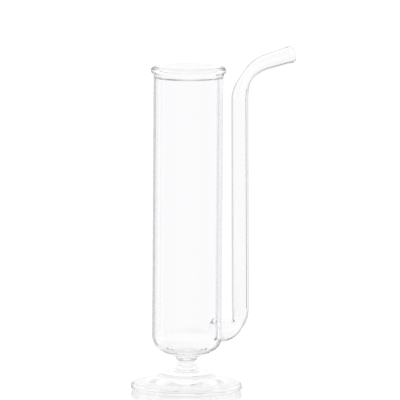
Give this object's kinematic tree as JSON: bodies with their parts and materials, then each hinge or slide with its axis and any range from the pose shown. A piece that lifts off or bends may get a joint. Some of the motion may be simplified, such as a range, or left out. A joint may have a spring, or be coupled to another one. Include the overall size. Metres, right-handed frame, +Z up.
{
  "type": "footed glass cylinder with side tube",
  "caption": "Tall clear glass cylinder on a stemmed round foot, with a beaded rim and a fused side tube that rises from near the bottom and bends outward above the rim as an open spout.",
  "frame": {"origin": "centre of the foot's flat underside", "axes": "+Z up along the cylinder's axis, +X towards the side tube and its spout, which lie in the XZ plane"},
  "size_m": [0.1009, 0.064, 0.1964],
  "materials": {
    "clear_glass": "clear, fire-polished"
  },
  "bodies": {
    "root": {"vessel_tube": "clear_glass", "rim_bead": "clear_glass", "stem_collar": "clear_glass", "stem": "clear_glass", "foot": "clear_glass", "side_tube": "clear_glass", "side_tube_seal": "clear_glass"}
  },
  "joints": []
}
